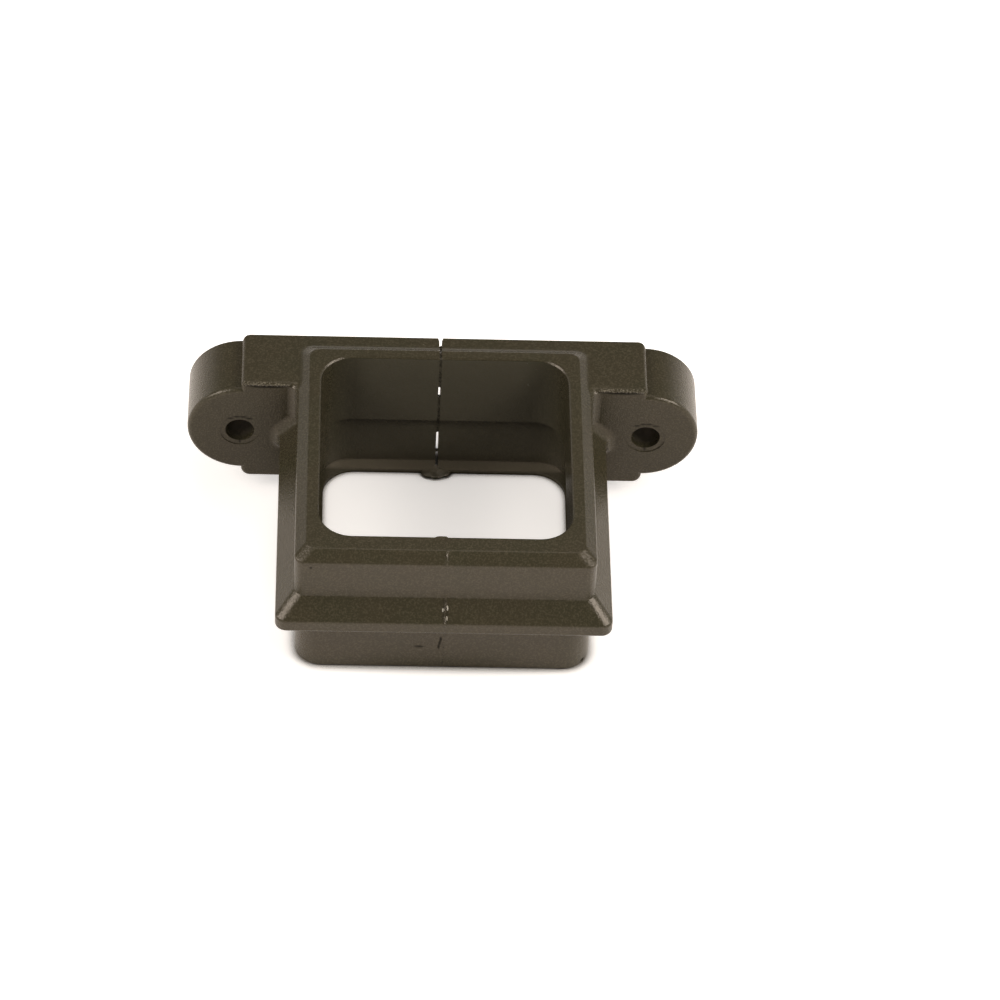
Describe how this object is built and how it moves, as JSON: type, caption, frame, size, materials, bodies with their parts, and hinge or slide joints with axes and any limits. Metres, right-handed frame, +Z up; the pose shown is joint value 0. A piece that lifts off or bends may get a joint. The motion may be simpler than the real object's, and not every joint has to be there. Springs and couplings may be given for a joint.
{
  "type": "downpipe clip",
  "caption": "Clip for a square downpipe: a stepped moulded collar, split at the rear, on a thick back plate with a round screw lug at each end.",
  "frame": {"origin": "on the wall plane, midway between the screw holes", "axes": "+X along the wall from lug to lug, +Y into the wall, +Z up along the pipe"},
  "size_m": [0.1416, 0.0915, 0.043],
  "materials": {
    "moulding": "dark warm grey-brown, satin, with a fine cast grain"
  },
  "bodies": {
    "root": {"downpipe_clip": "moulding"}
  },
  "joints": []
}
